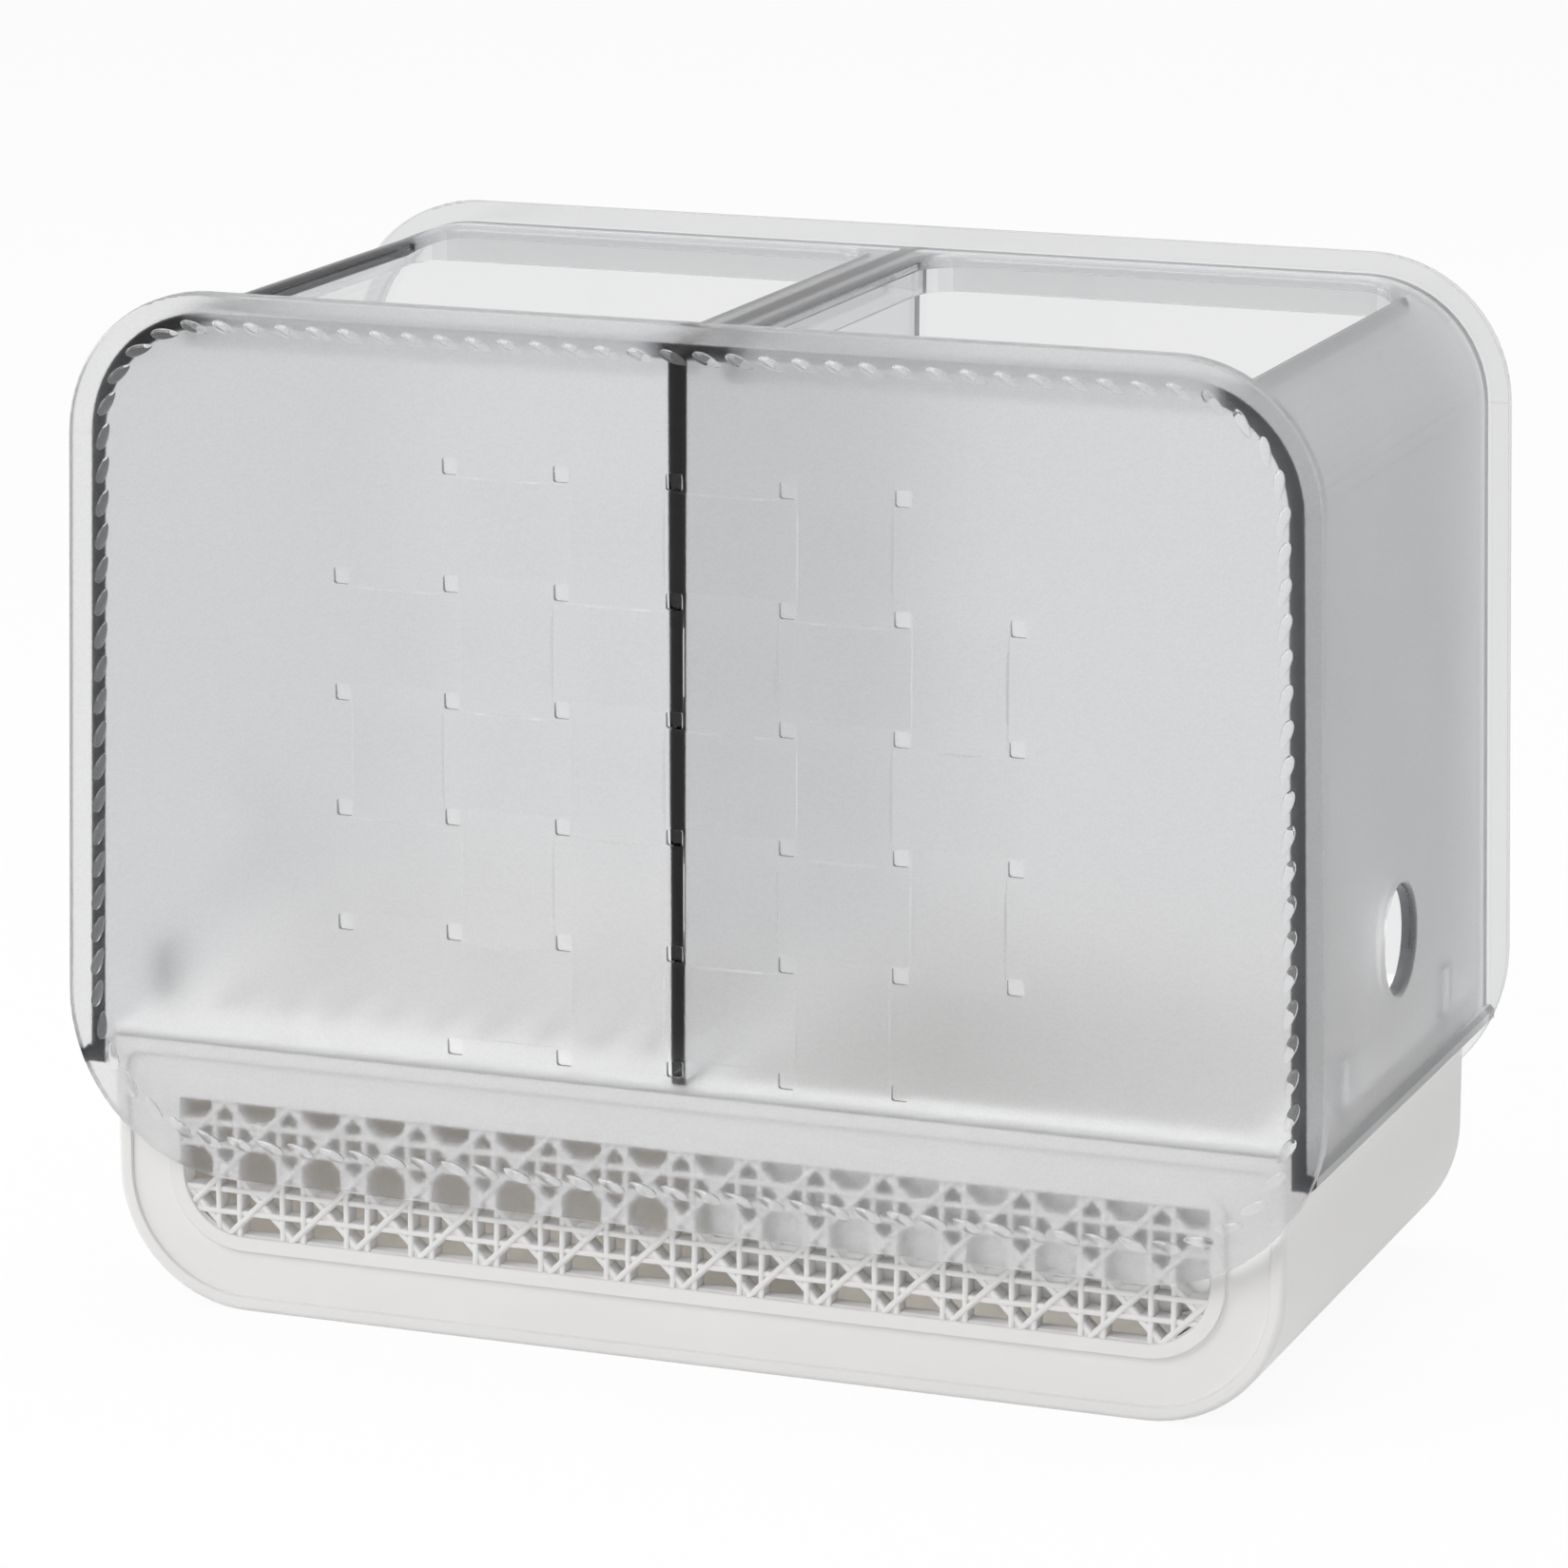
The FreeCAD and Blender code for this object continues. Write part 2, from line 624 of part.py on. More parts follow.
def main():
    doc = FreeCAD.newDocument("ChopstickHolder")
    size = Numbers(*make_sheets(doc))
    parts = [make_bin(doc, size), make_base(doc, size), make_insert(doc, size), make_grille(doc, size)]
    doc.recompute()
    check(doc, parts)
    os.makedirs("parts", exist_ok=True)
    for item in parts:
        item.Shape.exportStep(f"parts/{item.Label}.step")
        print(item.Label, "volume", round(item.Shape.Volume), "faces", len(item.Shape.Faces))


main()
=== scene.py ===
import math

import bmesh
import bpy
from mathutils import Matrix, Vector


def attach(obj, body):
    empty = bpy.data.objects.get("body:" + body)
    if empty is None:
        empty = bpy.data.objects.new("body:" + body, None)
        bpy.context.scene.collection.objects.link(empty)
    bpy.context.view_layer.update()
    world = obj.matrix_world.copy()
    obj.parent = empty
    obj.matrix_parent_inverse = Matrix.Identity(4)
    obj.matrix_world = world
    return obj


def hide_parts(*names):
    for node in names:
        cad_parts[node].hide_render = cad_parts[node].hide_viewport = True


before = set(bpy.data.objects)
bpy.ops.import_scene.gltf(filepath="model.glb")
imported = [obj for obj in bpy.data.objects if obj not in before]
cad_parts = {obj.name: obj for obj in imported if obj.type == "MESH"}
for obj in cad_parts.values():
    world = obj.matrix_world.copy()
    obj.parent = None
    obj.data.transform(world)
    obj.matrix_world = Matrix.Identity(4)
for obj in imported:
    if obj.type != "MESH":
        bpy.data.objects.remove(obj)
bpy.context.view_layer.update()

MM = 0.001
FLAT_LIMIT = math.cos(math.radians(0.15))

# Plates of the bin, as in the part's sheet
PLATE_LOW, PLATE_TOP = 19.95 * MM, 144.35 * MM
PLATE_FRONT, PLATE_THICK = -47.6 * MM, 2.2 * MM
BACK_INSIDE = -PLATE_FRONT - PLATE_THICK
PLATE_HALF, PLATE_MIDDLE, PLATE_SLOPE = 90.0 * MM, 82.15 * MM, 0.0245
TOP_CORNER, LOW_CORNER = 20.7 * MM, 24.9 * MM
FLANGE = 2.9 * MM
COLLAR_LOW, COLLAR_START, COLLAR_END = 135.9 * MM, 40.5 * MM, 45.3 * MM
PARTING_HEIGHT, PARTING_WIDE, PARTING_START = 124.0 * MM, 0.2 * MM, 86.0 * MM
NUDGE = 0.1 * MM

# Rope border: a row of slanted leaf-shaped beads
ROPE_INSET, ROPE_RISE = 5.0 * MM, 0.4 * MM
ROPE_PITCH = 4.65 * MM
BEAD_LONG, BEAD_WIDE, BEAD_PROUD = 4.2 * MM, 1.5 * MM, 0.5 * MM
BEAD_TILT = math.radians(20)
BEAD_TAPER, BEAD_END = 0.25, 0.04

# Basket weave: strips that pass over each other in turn, with a small square where four meet
WEAVE_SPAN, WEAVE_FOOT, WEAVE_HEAD = 52.0 * MM, 35.0 * MM, 130.0 * MM
# Columns and rows are in millimetres
WEAVE_PITCH = 16.09
WEAVE_COLUMNS = [k * WEAVE_PITCH for k in range(-3, 4)]
WEAVE_ROWS = [123.13 - m * WEAVE_PITCH for m in range(6)]
WEAVE_GAP = 2.6 * MM
WEAVE_PROUD = 0.26 * MM
SQUARE_SIDE, SQUARE_ROUND = 2.3 * MM, 0.35 * MM
SQUARE_DEEP, SQUARE_SHALLOW = 0.75 * MM, 0.25 * MM

# Base, and the cane webbing in its window
BASE_HALF, BASE_REACH, BASE_TALL, BASE_ROUND = 85.16 * MM, 44.8 * MM, 38.6 * MM, 19.2 * MM
EDGE_SOFTNESS = 0.35 * MM
WEB_HALF, WEB_LOW, WEB_TOP, WEB_CORNER = 74.96 * MM, 10.9 * MM, 30.6 * MM, 9.0 * MM
WEB_MIDDLE, WEB_FRONT = 20.75 * MM, -44.3 * MM
CANE_PITCH, CANE_PAIR, CANE_WIDE = 9.75 * MM, 3.2 * MM, 0.78 * MM
STRAND_RISE, STRAND_SWING, STRAND_BLEND = 0.30 * MM, 0.11 * MM, 0.8 * MM
SLANT_OVER, SLANT_UNDER = 0.42 * MM, 0.16 * MM

# Colours: each white part runs between two tones
PALE = (0.84, 0.83, 0.82, 1), (0.88, 0.875, 0.865, 1)
INSERT_PALE = (0.83, 0.825, 0.815, 1), (0.87, 0.865, 0.855, 1)
# Painted warm shade: a warm tint on the base's inner faces that stands in for the shade inside the base
HOLLOW_PAINTED_SHADE = (0.96, 0.91, 0.84, 1)
# Painted light: a lighter tone on the front of the insert's well, for the light it gets behind the grille
WELL_PAINTED_LIGHT = (0.96, 0.955, 0.945, 1)
SMOKE_COLOUR, SMOKE_DENSITY = (0.5, 0.51, 0.53, 1), 138.0
CLEAR_COLOUR = (0.94, 0.94, 0.945, 1)
LAMP_AIM = (0, 0, 0.06)

# Camera of the photograph, found from the plates' and the base's edges
CAMERA_AZIMUTH = math.radians(20.6944)
CAMERA_ELEVATION = math.radians(13.2856)
CAMERA_ROLL = math.radians(-0.1297)
CAMERA_DISTANCE = 0.91855
CAMERA_AIM = Vector((0.0, 0.0, 0.070))
CAMERA_SIDE = -0.0021609
CAMERA_RISE = 0.0017301
FOCAL_PIXELS = 6878.4
IMAGE_PIXELS = 1649
SENSOR_MM = 36.0


def half_width(height):
    """Half the plate's width at a height."""
    return PLATE_HALF - PLATE_SLOPE * (height - PLATE_MIDDLE)


def arc(centre, radius, start, end, steps=24):
    turns = [math.radians(start + (end - start) * i / steps) for i in range(steps + 1)]
    return [(centre[0] + radius * math.cos(turn), centre[1] + radius * math.sin(turn)) for turn in turns]


def inset_outline(inset):
    """Closed line inside the plate's outline, clockwise from the middle of the top."""
    top, low = PLATE_TOP - inset, PLATE_LOW + inset
    top_round, low_round = TOP_CORNER - inset, LOW_CORNER - inset
    top_spot = (half_width(top) - inset - top_round, top - top_round)
    low_spot = (half_width(low) - inset - low_round, low + low_round)
    right = [(0.0, top)] + arc(top_spot, top_round, 90, 0) + arc(low_spot, low_round, 0, -90) + [(0.0, low)]
    return right + [(-x, z) for x, z in reversed(right[1:-1])] + right[:1]


def along(line, pitch):
    """Evenly spaced points on a closed line, with the heading at each."""
    runs = [math.dist(a, b) for a, b in zip(line, line[1:])]
    count = round(sum(runs) / pitch)
    step = sum(runs) / count
    places, travelled, i = [], 0.0, 0
    for number in range(count):
        target = number * step
        while travelled + runs[i] < target:
            travelled += runs[i]
            i += 1
        share = (target - travelled) / runs[i]
        (ax, az), (bx, bz) = line[i], line[i + 1]
        places.append((ax + share * (bx - ax), az + share * (bz - az), math.atan2(bz - az, bx - ax)))
    return places


def add_tube(bm, rings):
    """Closed body from rings of points, with a face at each end."""
    lines = [[bm.verts.new(point) for point in ring] for ring in rings]
    for low, high in zip(lines, lines[1:]):
        for i in range(len(low)):
            j = (i + 1) % len(low)
            bm.faces.new((low[i], low[j], high[j], high[i]))
    bm.faces.new(list(reversed(lines[0])))
    bm.faces.new(lines[-1])


def add_bead(bm, x, z, heading, steps=10, around=12):
    """One bead of the rope border, aslant to its heading and thinner towards its tail."""
    turn = heading - BEAD_TILT
    ahead, side = (math.cos(turn), math.sin(turn)), (-math.sin(turn), math.cos(turn))
    rings = []
    for i in range(steps + 1):
        u = -math.cos(math.pi * (BEAD_END + (1 - 2 * BEAD_END) * i / steps))
        full = math.sqrt(1 - u * u) * (1 - BEAD_TAPER * u)
        ring = []
        for j in range(around):
            spin = 2 * math.pi * j / around
            across = full * BEAD_WIDE / 2 * math.cos(spin)
            out = full * BEAD_PROUD * math.sin(spin)
            ring.append((x + ahead[0] * u * BEAD_LONG / 2 + side[0] * across, PLATE_FRONT - out,
                         z + ahead[1] * u * BEAD_LONG / 2 + side[1] * across))
        rings.append(ring)
    add_tube(bm, rings)


def add_strip(bm, low, high, upright, steps=12):
    """Pillow-shaped strip of the weave, sunk at both ends, with a bevel along each side."""
    edge = [(0.0, -0.3), (0.0, 0.15), (0.02, 1.0), (0.5, 1.05), (0.98, 1.0), (1.0, 0.15), (1.0, -0.3)]
    rings = []
    for i in range(steps + 1):
        s = 2 * i / steps - 1
        rise = WEAVE_PROUD * (1.05 * (1 - s * s) - 0.05)
        ring = []
        for t, height in edge:
            out = rise * height if height > 0 else height * MM
            a, b = (t, (s + 1) / 2) if upright else ((s + 1) / 2, t)
            ring.append((low[0] + a * (high[0] - low[0]), PLATE_FRONT - out, low[1] + b * (high[1] - low[1])))
        rings.append(ring)
    add_tube(bm, rings)


def rounded_square(x, z, side, radius):
    h = side / 2 - radius
    points = []
    for cx, cz, start in ((h, h, 0), (-h, h, 90), (-h, -h, 180), (h, -h, 270)):
        points += arc((x + cx, z + cz), radius, start, start + 90, 4)
    return points


def add_square(bm, x, z):
    """Cutter for one square of the weave: its floor is deepest at the lower left."""
    outline = rounded_square(x, z, SQUARE_SIDE, SQUARE_ROUND)
    floor = []
    for px, pz in outline:
        share = 0.5 - ((px - x) + (pz - z)) / (2 * SQUARE_SIDE)
        floor.append((px, PLATE_FRONT + SQUARE_SHALLOW + (SQUARE_DEEP - SQUARE_SHALLOW) * share, pz))
    add_tube(bm, [[(px, PLATE_FRONT - 0.5 * MM, pz) for px, pz in outline], floor])


def weave_places():
    """Column and row of every square: the four corners of the pattern stay empty."""
    last_column, last_row = len(WEAVE_COLUMNS) - 1, len(WEAVE_ROWS) - 1
    return [(k, m) for k in range(last_column + 1) for m in range(last_row + 1)
            if not (k in (0, last_column) and m in (0, last_row))]


def add_weave(bm):
    """A strip between each four squares, upright and across in turn."""
    squares = set(weave_places())
    gap = WEAVE_GAP / 2
    for k in range(len(WEAVE_COLUMNS) - 1):
        for m in range(len(WEAVE_ROWS) - 1):
            if not {(k, m), (k + 1, m), (k, m + 1), (k + 1, m + 1)} <= squares:
                continue
            left, right = WEAVE_COLUMNS[k] * MM, WEAVE_COLUMNS[k + 1] * MM
            top, low = WEAVE_ROWS[m] * MM, WEAVE_ROWS[m + 1] * MM
            if (k + m) % 2 == 0:
                add_strip(bm, (left + gap, low - gap), (right - gap, top + gap), True)
            else:
                add_strip(bm, (left - gap, low + gap), (right + gap, top - gap), False)


def from_bmesh(bm, name):
    bmesh.ops.recalc_face_normals(bm, faces=bm.faces)
    mesh = bpy.data.meshes.new(name)
    bm.to_mesh(mesh)
    bm.free()
    piece = bpy.data.objects.new(name, mesh)
    bpy.context.scene.collection.objects.link(piece)
    return piece


def combined(piece, other, operation):
    """The piece's mesh joined with, or cut by, another's, which is then removed."""
    step = piece.modifiers.new("step", "BOOLEAN")
    step.operation = operation
    step.solver = "MANIFOLD"
    step.object = other
    result = bpy.data.meshes.new_from_object(piece.evaluated_get(bpy.context.evaluated_depsgraph_get()))
    piece.modifiers.remove(step)
    piece.data = result
    bpy.data.objects.remove(other)


def flat_regions(bm, least):
    """Faces that belong to a flat area of at least the given size."""
    flat, seen = set(), set()
    for first in bm.faces:
        if first in seen:
            continue
        region, queue = [], [first]
        seen.add(first)
        while queue:
            face = queue.pop()
            region.append(face)
            for edge in face.edges:
                for other in edge.link_faces:
                    if other not in seen and other.normal.dot(first.normal) > FLAT_LIMIT:
                        seen.add(other)
                        queue.append(other)
        if sum(face.calc_area() for face in region) > least:
            flat.update(region)
    return flat


def corner_normal(loop, flat, limit):
    """Flat faces keep their own normal, and round ones run into them."""
    face = loop.face
    if face in flat:
        return face.normal.copy()
    near = [other for other in loop.vert.link_faces if other.normal.dot(face.normal) > limit]
    firm = [other for other in near if other in flat]
    if firm:
        return max(firm, key=lambda other: other.normal.dot(face.normal)).normal.copy()
    total = Vector((0, 0, 0))
    for other in near:
        corner = next(spot for spot in other.loops if spot.vert == loop.vert)
        total += other.normal * corner.calc_angle()
    return total.normalized() if total.length > 0 else face.normal.copy()


def smooth(piece, degrees, least=8 * MM * MM):
    """Smooth shading that leaves flat faces flat, as on the CAD model."""
    mesh = piece.data
    mesh.polygons.foreach_set("use_smooth", [True] * len(mesh.polygons))
    bm = bmesh.new()
    bm.from_mesh(mesh)
    bm.normal_update()
    flat = flat_regions(bm, least)
    limit = math.cos(math.radians(degrees))
    normals = [corner_normal(loop, flat, limit) for face in bm.faces for loop in face.loops]
    bm.free()
    mesh.normals_split_custom_set(normals)


def make_bin(material):
    """The bin with its rope border and basket weave."""
    bm = bmesh.new()
    bm.from_mesh(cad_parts["bin_sleeve"].data)
    bmesh.ops.remove_doubles(bm, verts=bm.verts, dist=0.002 * MM)
    piece = from_bmesh(bm, "bin")
    raised = bmesh.new()
    rope = [(x, z + ROPE_RISE) for x, z in inset_outline(ROPE_INSET)]
    for x, z, heading in along(rope, ROPE_PITCH):
        add_bead(raised, x, z, heading)
    add_weave(raised)
    combined(piece, from_bmesh(raised, "raised"), "UNION")
    sunk = bmesh.new()
    for k, m in weave_places():
        add_square(sunk, WEAVE_COLUMNS[k] * MM, WEAVE_ROWS[m] * MM)
    combined(piece, from_bmesh(sunk, "sunk"), "DIFFERENCE")
    piece.data.materials.clear()
    piece.data.materials.append(material)
    smooth(piece, 32)
    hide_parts("bin_sleeve")
    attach(piece, "bin")


def in_web(x, z, grow=0.4 * MM):
    """Whether a point lies in the window, whose two lower corners are round."""
    if abs(x) > WEB_HALF + grow or not WEB_LOW - grow < z < WEB_TOP + grow:
        return False
    dx, dz = abs(x) - (WEB_HALF - WEB_CORNER), (WEB_LOW + WEB_CORNER) - z
    return dx < 0 or dz < 0 or math.hypot(dx, dz) < WEB_CORNER + grow


def add_strand(bm, start, heading, length, rise, step=0.4 * MM):
    """Rounded strand on the web's front, as far as the window goes."""
    ahead, side = (math.cos(heading), math.sin(heading)), (-math.sin(heading), math.cos(heading))
    shape = [(-0.5, -0.1), (-0.5, 0.55), (-0.26, 1.0), (0.26, 1.0), (0.5, 0.55), (0.5, -0.1)]
    rings = []
    for i in range(int(length / step) + 1):
        x, z = start[0] + ahead[0] * i * step, start[1] + ahead[1] * i * step
        if not in_web(x, z):
            if len(rings) > 1:
                break
            rings = []
            continue
        height = rise(x, z)
        rings.append([(x + side[0] * a * CANE_WIDE, WEB_FRONT - b * (height if b > 0 else MM),
                       z + side[1] * a * CANE_WIDE) for a, b in shape])
    if len(rings) > 1:
        add_tube(bm, rings)


def over_under(place, crossings, first):
    """Height of a strand that passes over and under the crossing ones in turn."""
    height = STRAND_RISE
    for i, crossing in enumerate(crossings):
        sign = 1 if (i + first) % 2 else -1
        height += sign * STRAND_SWING * math.exp(-((place - crossing) / STRAND_BLEND) ** 2)
    return height


def make_strands(material):
    """Woven relief on the grille's flat web."""
    bm = bmesh.new()
    columns = [k * CANE_PITCH + s * CANE_PAIR / 2 for k in range(-7, 8) for s in (-1, 1)]
    rows = [WEB_MIDDLE + k * CANE_PITCH / 2 + s * CANE_PAIR / 2 for k in (-1, 1) for s in (-1, 1)]
    tall, wide = WEB_TOP - WEB_LOW + 2 * MM, 2 * WEB_HALF + 2 * MM
    for i, x in enumerate(columns):
        add_strand(bm, (x, WEB_LOW - MM), math.pi / 2, tall, lambda _, z, i=i: over_under(z, rows, i))
    for i, z in enumerate(rows):
        add_strand(bm, (-WEB_HALF - MM, z), 0.0, wide, lambda x, _, i=i: over_under(x, columns, i + 1))
    reach = tall * math.sqrt(2)
    half = tall / 2
    for k in range(-9, 10):
        x = k * CANE_PITCH
        add_strand(bm, (x - half, WEB_MIDDLE - half), math.pi / 4, reach, lambda *_: SLANT_OVER)
        add_strand(bm, (x + half, WEB_MIDDLE - half), 3 * math.pi / 4, reach, lambda *_: SLANT_UNDER)
    piece = from_bmesh(bm, "cane_strands")
    piece.data.materials.append(material)
    smooth(piece, 40)
    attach(piece, "base")


def new_material(name):
    material = bpy.data.materials.new(name)
    material.use_nodes = True
    tree = material.node_tree
    tree.nodes.clear()
    output = tree.nodes.new("ShaderNodeOutputMaterial")
    return material, tree, output


def add(tree, kind, **values):
    """New node with its inputs set by name."""
    node = tree.nodes.new(kind)
    for name, value in values.items():
        node.inputs[name.replace("_", " ")].default_value = value
    return node


def ramp(tree, factor, low, high, start=0.0, end=1.0):
    """Map a factor to a range."""
    node = tree.nodes.new("ShaderNodeMapRange")
    node.inputs["From Min"].default_value = start
    node.inputs["From Max"].default_value = end
    node.inputs["To Min"].default_value = low
    node.inputs["To Max"].default_value = high
    tree.links.new(factor, node.inputs["Value"])
    return node.outputs["Result"]


def noise(tree, place, scale, detail=2.0):
    node = tree.nodes.new("ShaderNodeTexNoise")
    node.inputs["Scale"].default_value = scale
    node.inputs["Detail"].default_value = detail
    tree.links.new(place, node.inputs["Vector"])
    return node.outputs["Fac"]


def maths(tree, operation, first, second):
    """Math node on two sockets or numbers."""
    node = tree.nodes.new("ShaderNodeMath")
    node.operation = operation
    for socket, value in zip(node.inputs, (first, second)):
        if isinstance(value, (int, float)):
            socket.default_value = value
        else:
            tree.links.new(value, socket)
    return node.outputs["Value"]


def parts_of(tree, vector):
    """The X, Y and Z of a vector."""
    split = tree.nodes.new("ShaderNodeSeparateXYZ")
    tree.links.new(vector, split.inputs["Vector"])
    return split.outputs["X"], split.outputs["Y"], split.outputs["Z"]


def between(tree, value, low, high):
    """1 where a value lies between two numbers."""
    return maths(tree, "MULTIPLY", maths(tree, "GREATER_THAN", value, low), maths(tree, "LESS_THAN", value, high))


def both(tree, first, second):
    return maths(tree, "MULTIPLY", first, second)


def absolute(tree, value):
    return maths(tree, "ABSOLUTE", value, 0.0)


def corner_reach(tree, across, upright):
    """Distance from a round corner's centre, for what lies past it in either direction."""
    squares = []
    for value in (across, upright):
        past = maths(tree, "MAXIMUM", value, 0.0)
        squares.append(both(tree, past, past))
    return maths(tree, "SQRT", maths(tree, "ADD", *squares), 0.0)


def outer_faces(tree, spot, facing):
    """1 on faces that look away from the bin's inside, 0 on the inner ones and the divider."""
    away_x = both(tree, facing[0], maths(tree, "MULTIPLY", spot[0], 20.0))
    away_y = both(tree, facing[1], maths(tree, "MULTIPLY", spot[1], 20.0))
    away = maths(tree, "MAXIMUM", maths(tree, "MAXIMUM", away_x, away_y), facing[2])
    return maths(tree, "GREATER_THAN", away, 0.4)


def back_rim(tree, spot, facing):
    """1 on the rounded edge of the back plate."""
    turned = maths(tree, "LESS_THAN", absolute(tree, facing[1]), 0.97)
    return both(tree, maths(tree, "GREATER_THAN", spot[1], BACK_INSIDE + NUDGE), turned)


def weave_area(tree, spot):
    """1 within the basket weave's part of the width and height."""
    across = between(tree, spot[0], -WEAVE_SPAN, WEAVE_SPAN)
    return both(tree, across, between(tree, spot[2], WEAVE_FOOT, WEAVE_HEAD))


def square_floors(tree, spot):
    """1 on the floors of the weave's squares, which are left smooth."""
    sunk = between(tree, spot[1], PLATE_FRONT + NUDGE / 2, PLATE_FRONT + MM)
    return both(tree, sunk, weave_area(tree, spot))


def back_margin(tree, spot):
    """1 on the back plate outside the tube's outline, which is given painted shade."""
    narrowing = maths(tree, "MULTIPLY", spot[2], PLATE_SLOPE)
    half = maths(tree, "SUBTRACT", PLATE_HALF + PLATE_SLOPE * PLATE_MIDDLE, narrowing)
    flat = maths(tree, "SUBTRACT", half, TOP_CORNER)
    across = maths(tree, "SUBTRACT", absolute(tree, spot[0]), flat)
    above = maths(tree, "SUBTRACT", spot[2], PLATE_TOP - TOP_CORNER)
    away = corner_reach(tree, across, above)
    rear = maths(tree, "GREATER_THAN", spot[1], BACK_INSIDE - NUDGE)
    return both(tree, rear, maths(tree, "GREATER_THAN", away, TOP_CORNER - FLANGE))


def rear_collar(tree, spot):
    """1 on the deck and the collars along the back plate, which are given painted shade."""
    rear = between(tree, spot[1], COLLAR_START, COLLAR_END)
    return both(tree, rear, maths(tree, "GREATER_THAN", spot[2], COLLAR_LOW))


def rope_beads(tree, spot):
    """1 on the beads of the rope border, which are smooth and a little milky."""
    raised = maths(tree, "LESS_THAN", spot[1], PLATE_FRONT - 0.02 * MM)
    return both(tree, raised, maths(tree, "SUBTRACT", 1.0, weave_area(tree, spot)))


def parting_line(tree, spot):
    """1 on a fine line round the tube's sides and the plates' margins."""
    outside = maths(tree, "GREATER_THAN", absolute(tree, spot[0]), PARTING_START)
    low, high = PARTING_HEIGHT - PARTING_WIDE / 2, PARTING_HEIGHT + PARTING_WIDE / 2
    return both(tree, between(tree, spot[2], low, high), outside)


def frosted_plastic():
    """Smoky translucent plastic: frosted with a fine grain outside, smooth inside."""
    material, tree, output = new_material("frosted_plastic")
    place = tree.nodes.new("ShaderNodeTexCoord").outputs["Object"]
    shader = tree.nodes.new("ShaderNodeBsdfPrincipled")
    shader.inputs["IOR"].default_value = 1.46
    spot = parts_of(tree, place)
    facing = parts_of(tree, tree.nodes.new("ShaderNodeNewGeometry").outputs["True Normal"])
    beads = rope_beads(tree, spot)
    sleek = maths(tree, "MAXIMUM", square_floors(tree, spot), beads)
    frosted = both(tree, outer_faces(tree, spot, facing), maths(tree, "SUBTRACT", 1.0, sleek))
    cloud = noise(tree, place, 35.0, 1.0)
    grain = noise(tree, place, 2600.0, 1.0)
    shade = add(tree, "ShaderNodeCombineColor")
    tone = maths(tree, "SUBTRACT", 0.996, both(tree, frosted, ramp(tree, grain, 0.08, 0.0, 0.35, 0.65)))
    # Painted shade: the back plate's margin is darkened in colour
    tone = maths(tree, "SUBTRACT", tone, maths(tree, "MULTIPLY", back_margin(tree, spot), 0.085))
    # Painted shade: the deck and the collars along the back plate are darkened in colour
    tone = maths(tree, "SUBTRACT", tone, maths(tree, "MULTIPLY", rear_collar(tree, spot), 0.16))
    for channel in ("Red", "Green", "Blue"):
        tree.links.new(tone, shade.inputs[channel])
    tree.links.new(shade.outputs["Color"], shader.inputs["Base Color"])
    tree.links.new(ramp(tree, beads, 1.0, 0.9), shader.inputs["Transmission Weight"])
    rough = maths(tree, "MULTIPLY", frosted, ramp(tree, cloud, 0.22, 0.30))
    tree.links.new(maths(tree, "ADD", rough, 0.08), shader.inputs["Roughness"])
    bump = add(tree, "ShaderNodeBump", Distance=0.0002)
    tree.links.new(maths(tree, "MULTIPLY", frosted, 0.14), bump.inputs["Strength"])
    tree.links.new(grain, bump.inputs["Height"])
    seam = add(tree, "ShaderNodeBump", Strength=0.6, Distance=0.0001)
    tree.links.new(parting_line(tree, spot), seam.inputs["Height"])
    tree.links.new(bump.outputs["Normal"], seam.inputs["Normal"])
    tree.links.new(seam.outputs["Normal"], shader.inputs["Normal"])
    smoke = tree.nodes.new("ShaderNodeVolumeAbsorption")
    smoke.inputs["Color"].default_value = SMOKE_COLOUR
    smoke.inputs["Density"].default_value = SMOKE_DENSITY
    clear = tree.nodes.new("ShaderNodeBsdfTransparent")
    clear.inputs["Color"].default_value = CLEAR_COLOUR
    finish = tree.nodes.new("ShaderNodeMixShader")
    tree.links.new(ramp(tree, back_rim(tree, spot, facing), 0.0, 0.8), finish.inputs["Fac"])
    tree.links.new(shader.outputs["BSDF"], finish.inputs[1])
    tree.links.new(clear.outputs["BSDF"], finish.inputs[2])
    tree.links.new(finish.outputs["Shader"], output.inputs["Surface"])
    tree.links.new(smoke.outputs["Volume"], output.inputs["Volume"])
    return material


def painted_shade_inside_base(tree, spot):
    """1 on the inner faces of the base, which get a painted warm shade."""
    across = maths(tree, "SUBTRACT", absolute(tree, spot[0]), BASE_HALF - BASE_ROUND)
    below = maths(tree, "SUBTRACT", BASE_ROUND, spot[2])
    away = corner_reach(tree, across, below)
    deep = maths(tree, "LESS_THAN", absolute(tree, spot[1]), BASE_REACH - 1.8 * MM)
    return both(tree, deep, maths(tree, "LESS_THAN", away, BASE_ROUND - MM))


def painted_light_on_well(tree, spot):
    """1 on the outer front face of the insert's well, which gets a painted light: a lighter tone for the light
    falling there.
    """
    low = maths(tree, "LESS_THAN", spot[2], BASE_TALL - NUDGE)
    return both(tree, low, maths(tree, "LESS_THAN", spot[1], -BASE_REACH + 4.0 * MM))


